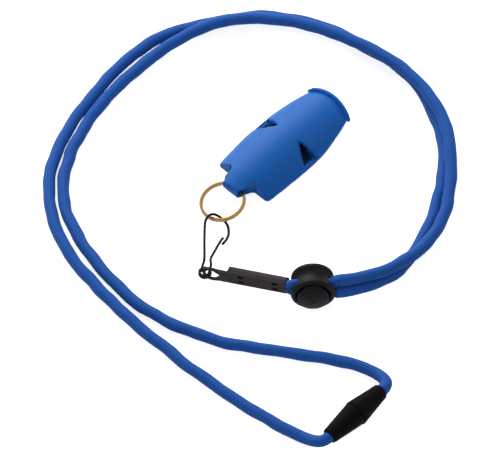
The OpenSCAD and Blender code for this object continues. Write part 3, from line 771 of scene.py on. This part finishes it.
class LANYARD_OT_stage(bpy.types.Operator):
    """Camera at the viewing angle of the table shot, soft lamps and a white table"""

    bl_idname = "lanyard.stage"
    bl_label = "Stage"

    def execute(self, context):
        scene = context.scene
        scene.view_settings.view_transform = "Standard"

        back = VIEW_BACK.normalized()
        up = back.cross(VIEW_RIGHT).normalized()
        right = up.cross(back)
        data = bpy.data.cameras.new("camera")
        data.sensor_width = SENSOR_MM
        data.lens = SENSOR_MM * VIEW_DISTANCE_MM / VIEW_WIDTH_MM
        data.clip_end = 20
        camera = bpy.data.objects.new("camera", data)
        turn = Matrix((right, up, back)).transposed().to_4x4()
        place = (VIEW_TARGET + back * VIEW_DISTANCE_MM) * MM
        camera.matrix_world = Matrix.Translation(place) @ turn
        scene.collection.objects.link(camera)
        scene.camera = camera

        # Large soft lamps: (name, place in m, size in m, power in W)
        for name, place, size, power in (
            ("key", (0.3, 0.7, 0.5), 0.8, 11.5),
            ("fill", (0.5, -0.45, 0.6), 0.7, 1.2),
            ("front", (-0.65, -0.3, 0.5), 0.7, 1.6),
        ):
            lamp = bpy.data.lights.new(name, "AREA")
            lamp.energy = power
            lamp.size = size
            obj = bpy.data.objects.new(name, lamp)
            aim = (VIEW_TARGET * MM - Vector(place)).to_track_quat("-Z", "Y")
            obj.matrix_world = Matrix.Translation(place) @ aim.to_matrix().to_4x4()
            scene.collection.objects.link(obj)

        world = bpy.data.worlds.new("studio")
        scene.world = world
        world.use_nodes = True
        tree = world.node_tree
        tree.nodes.clear()
        level = self.seen(tree, WORLD_LIGHT, 1.0)
        shader = add_node(
            tree, "ShaderNodeBackground", {"Color": (1, 1, 1, 1), "Strength": level}
        )
        output = tree.nodes.new("ShaderNodeOutputWorld")
        tree.links.new(shader.outputs[0], output.inputs["Surface"])

        bm = bmesh.new()
        bmesh.ops.create_grid(bm, x_segments=1, y_segments=1, size=3.0)
        bmesh.ops.translate(bm, vec=(0, 0, -TABLE_GAP_MM * MM), verts=bm.verts)
        table = mesh_object("table", bm)
        _, tree, finish = new_material("white_table")
        # The table lets cameras, mirrors and lamps see through it to the white world, so it is
        # white with its shadows, and what swings below it at a joint's limit still shows
        path = add_node(tree, "ShaderNodeLightPath")
        shown = self.seen(tree, 0.0, TABLE_CLEAR)
        clear = add_node(
            tree, "ShaderNodeMath",
            {0: path.outputs["Is Shadow Ray"], 1: TABLE_CLEAR, 2: shown}, operation="MULTIPLY_ADD",
        )
        paper = add_node(tree, "ShaderNodeBsdfDiffuse", {"Color": (*srgb("#F2F2F4"), 1)})
        glass = add_node(tree, "ShaderNodeBsdfTransparent", {"Color": clear.outputs[0]})
        top = add_node(tree, "ShaderNodeAddShader", {0: paper.outputs[0], 1: glass.outputs[0]})
        dress(table, finish(top))
        return {"FINISHED"}

    @staticmethod
    def seen(tree, hidden, shown):
        """A level that camera, mirror and glass rays see as shown, and others as hidden."""
        path = add_node(tree, "ShaderNodeLightPath")
        first = add_node(
            tree, "ShaderNodeMath",
            {0: path.outputs["Is Camera Ray"], 1: path.outputs["Is Glossy Ray"]},
            operation="MAXIMUM",
        )
        any_ray = add_node(
            tree, "ShaderNodeMath",
            {0: first.outputs[0], 1: path.outputs["Is Transmission Ray"]}, operation="MAXIMUM",
        )
        level = add_node(
            tree, "ShaderNodeMapRange",
            {"Value": any_ray.outputs[0], "To Min": hidden, "To Max": shown},
        )
        return level.outputs[0]


class LANYARD_OT_cords(bpy.types.Operator):
    """Both knitted cords from the clip's mouth through the lock and round to the clasp"""

    bl_idname = "lanyard.cords"
    bl_label = "Cords"

    def execute(self, context):
        sizes, colours = context.scene.lanyard_sizes, context.scene.lanyard_colours
        high = sizes.cord_d / MM
        for name, node, side, route, clasp, length in (
            ("rear_cord", "cord_rear", 1, REAR_ROUTE, "clasp_plug", 0.45),
            ("front_cord", "cord_front", -1, FRONT_ROUTE, "clasp_socket", 0.455),
        ):
            # Sections are pressed in the clip, pinched in the lock and full after it
            points = [
                Vector((*(IN_CLIP @ Vector((x, CLIP_CORD_Y, side * CLIP_ASIDE))), width, height))
                for x, width, height in ((CLIP_END - 2.5, 2.6, 1.95), (CLIP_END - 0.2, 2.7, 2.1))
            ]
            for x, aside, lift, width, height in LOCK_STATIONS:
                place = IN_LOCK @ Vector((x, side * aside, side * CORD_LIFT * lift))
                points.append(Vector((*place, width, height)))
            lean = IN_LOCK.to_3x3() @ Vector((0, -side, 0))
            for k, p in enumerate(route):
                nestle = lean * NESTLE[k] if k < len(NESTLE) else Vector()
                points.append(Vector((*(Vector(p) + nestle), high * CORD_SPREAD, high)))
            stations, run = curve_through(points, CORD_STEP)
            self.wander(stations, run, side)
            waves, depth = run * MM / sizes.stitch, sizes.stitch_depth / MM

            def relief(u, v, place):
                strand = abs(math.sin(math.pi * (u * waves + v * RIB_LEAN)))
                dent = noise.noise(place / DENT_RUN) * DENT
                return depth * (strand - 0.6) + dent

            obj = tube(name, stations, CORD_SIDES, relief)
            dress(obj, knitted_polyester(colours.cord, waves, run, WALES))
            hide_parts(node)
            if side > 0:
                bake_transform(obj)
            else:
                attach(obj, "lanyard")
        return {"FINISHED"}

    @staticmethod
    def wander(stations, run, side):
        """Small bends of a cord that was folded and never quite straightened."""
        last = len(stations) - 1
        for i, station in enumerate(stations):
            at = run * i / last
            near = min((at - HELD_START) / HELD_FADE, (run - HELD_END - at) / HELD_FADE)
            free = min(1, max(0, near))
            ahead = Vector(stations[min(i + 1, last)][:3]) - Vector(stations[max(i - 1, 0)][:3])
            across = ahead.cross(Vector((0, 0, 1))).normalized()
            # Each cord reads its own line of the noise
            shift = BEND * free * noise.noise(Vector((at / BEND_RUN, 3.7 * side, 0)))
            station[0] += across.x * shift
            station[1] += across.y * shift
            swell = SWELL * free * noise.noise(Vector((at / SWELL_RUN, 9.1 * side, 4)))
            station[3] *= 1 + swell


class LANYARD_OT_cord_ends(bpy.types.Operator):
    """The two pressed cord ends that fill the clip's channel"""

    bl_idname = "lanyard.cord_ends"
    bl_label = "Pressed cord ends"

    def execute(self, context):
        sizes, colours = context.scene.lanyard_sizes, context.scene.lanyard_colours
        for name, side in (("pressed_end_rear", 1), ("pressed_end_front", -1)):
            points = [
                Vector((*(IN_CLIP @ Vector((x, CLIP_PRESSED_Y, side * CLIP_ASIDE))), 2.7, 2.0))
                for x in (CLIP_START, CLIP_END - 2.4)
            ]
            stations, run = curve_through(points, 0.5)
            obj = tube(name, stations, 32)
            waves = run * MM / sizes.stitch
            dress(obj, knitted_polyester(colours.cord, waves, run, PRESSED_WALES))
            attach(obj, "lanyard")
            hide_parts("cord_ends")
        return {"FINISHED"}


class LANYARD_OT_ring(bpy.types.Operator):
    """Split ring: one flat wire with rounded edges, wound twice with a step between"""

    bl_idname = "lanyard.ring"
    bl_label = "Split ring"

    def execute(self, context):
        level = (RING_T + RING_GAP) / 2
        bm = bmesh.new()
        bmesh.ops.create_grid(bm, x_segments=1, y_segments=1, size=0.5)
        bmesh.ops.bevel(
            bm, geom=bm.verts[:], offset=RING_ROUND, segments=3, profile=0.5,
            affect="VERTICES", material=-1,
        )
        bmesh.ops.delete(bm, geom=bm.faces[:], context="FACES_ONLY")
        bmesh.ops.scale(bm, vec=(RING_W, RING_T, 1), verts=bm.verts)
        upright = Matrix.Rotation(math.pi / 2, 3, "X")
        bmesh.ops.rotate(bm, cent=(0, 0, 0), matrix=upright, verts=bm.verts)
        bmesh.ops.translate(bm, vec=(RING_R, 0, -level), verts=bm.verts)
        first_turn = Matrix.Rotation(math.radians(RING_ANGLES[0][0]), 3, "Z")
        bmesh.ops.rotate(bm, cent=(0, 0, 0), matrix=first_turn, verts=bm.verts)
        profile = bm.verts[:] + bm.edges[:]
        for (first, last), rise in zip(RING_ANGLES, (0, 2 * level, 0)):
            steps = round((last - first) / RING_STEP)
            spun = bmesh.ops.spin(
                bm, geom=profile, cent=(0, 0, 0), axis=(0, 0, 1), dvec=(0, 0, rise / steps),
                angle=math.radians(last - first), steps=steps, use_merge=False,
                use_duplicate=False,
            )
            profile = spun["geom_last"]
        bmesh.ops.holes_fill(bm, edges=[e for e in bm.edges if e.is_boundary], sides=0)
        bmesh.ops.recalc_face_normals(bm, faces=bm.faces)
        for face in bm.faces:
            face.smooth = True
        bmesh.ops.transform(bm, matrix=Matrix.Scale(MM, 4) @ IN_RING, verts=bm.verts)
        obj = mesh_object("wound_ring", bm)
        dress(obj, plated_brass(context.scene.lanyard_colours.ring))
        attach(obj, "ring")
        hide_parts("split_ring")
        return {"FINISHED"}


class LANYARD_OT_hook(bpy.types.Operator):
    """Snap hook: one spring wire from its tip round the bow, coil and latch arm"""

    bl_idname = "lanyard.hook"
    bl_label = "Snap hook"

    def execute(self, context):
        wire = context.scene.lanyard_sizes.wire_d / MM
        coil = []
        for k in range(int(COIL_TURNS * COIL_STEPS) + 1):
            turn = math.radians(COIL_START + 360 * k / COIL_STEPS)
            height = COIL_BASE + COIL_PITCH * k / COIL_STEPS
            coil.append((COIL_R * math.cos(turn), COIL_R * math.sin(turn), height))
        line = HOOK_ROUTE + coil + HOOK_BACK
        points = [Vector((*(IN_HOOK @ Vector(p)), wire, wire)) for p in line]
        stations, _ = curve_through(points, WIRE_STEP)
        obj = tube("hook_wire", stations, WIRE_SIDES)
        steel = context.scene.lanyard_colours.steel
        dress(obj, blackened_steel("black_oxide_wire", steel, 0.5))
        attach(obj, "hook")
        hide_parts("snap_hook")
        return {"FINISHED"}


class LANYARD_OT_whistle(bpy.types.Operator):
    """Both moulded shells of the whistle"""

    bl_idname = "lanyard.whistle"
    bl_label = "Whistle shells"

    def execute(self, context):
        material = moulded_abs(context.scene.lanyard_colours.shell)
        added_on_top = [rim_tube(*BEAD), tab_cheek(1), tab_cheek(-1)]
        cutters = [
            make(side) for side in (1, -1) for make in (window_cutter, well_cutter, corner_cutter)
        ]
        for name, added, taken in (
            ("upper_shell", added_on_top, [tab_cutter(), rim_tube(*CREASE), *cutters]),
            ("lower_shell", [], [corner_cutter(1), corner_cutter(-1)]),
        ):
            obj = moulded_copy(name, added, taken, context.scene.lanyard_sizes.edge)
            dress(obj, material)
            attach(obj, "whistle")
            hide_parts(name)
        return {"FINISHED"}


class LANYARD_OT_fittings(bpy.types.Operator):
    """Clip, cord lock, its spring and the neck clasp"""

    bl_idname = "lanyard.fittings"
    bl_label = "Clip, lock and clasp"

    def execute(self, context):
        colours = context.scene.lanyard_colours
        acetal = moulded_black("moulded_acetal_black", colours.fittings, 0.42, 0.1)
        polypropylene = moulded_black("moulded_polypropylene_black", colours.fittings, 0.6, 0.04)
        for name in ("lock_barrel", "lock_plunger"):
            dress(welded_node(name), acetal)
        for name in ("clasp_plug", "clasp_socket"):
            dress(welded_node(name), polypropylene)
        dress(welded_node("crimp_clip"), blackened_steel("black_oxide_strip", colours.steel, 0.8))

        # The spring nests as the plunger goes home against the end of its bore; this merged copy
        # keeps the CAD shape, with a mesh of its own
        spring = merged_copy("lock_spring", "conical_spring")
        dress(spring, bright_steel())
        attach(spring, "lock")
        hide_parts("lock_spring")
        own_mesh(spring)
        return {"FINISHED"}


OPERATORS = (
    LANYARD_OT_stage, LANYARD_OT_cords, LANYARD_OT_cord_ends, LANYARD_OT_ring,
    LANYARD_OT_hook, LANYARD_OT_whistle, LANYARD_OT_fittings,
)


class LANYARD_PT_panel(bpy.types.Panel):
    """Sizes, colours and the operators in their order"""

    bl_idname = "LANYARD_PT_panel"
    bl_label = "Whistle lanyard"
    bl_space_type = "VIEW_3D"
    bl_region_type = "UI"
    bl_category = "Lanyard"

    def draw(self, context):
        for group in (context.scene.lanyard_sizes, context.scene.lanyard_colours):
            for name in group.__annotations__:
                self.layout.prop(group, name)
        for operator in OPERATORS:
            self.layout.operator(operator.bl_idname)


CLASSES = (LanyardSizes, LanyardColours, *OPERATORS, LANYARD_PT_panel)


def register():
    for item in CLASSES:
        bpy.utils.register_class(item)
    bpy.types.Scene.lanyard_sizes = bpy.props.PointerProperty(type=LanyardSizes)
    bpy.types.Scene.lanyard_colours = bpy.props.PointerProperty(type=LanyardColours)


def unregister():
    del bpy.types.Scene.lanyard_colours
    del bpy.types.Scene.lanyard_sizes
    for item in reversed(CLASSES):
        bpy.utils.unregister_class(item)


def main():
    register()
    for operator in OPERATORS:
        getattr(bpy.ops.lanyard, operator.bl_idname.split(".")[1])()


if __name__ == "__main__":
    main()
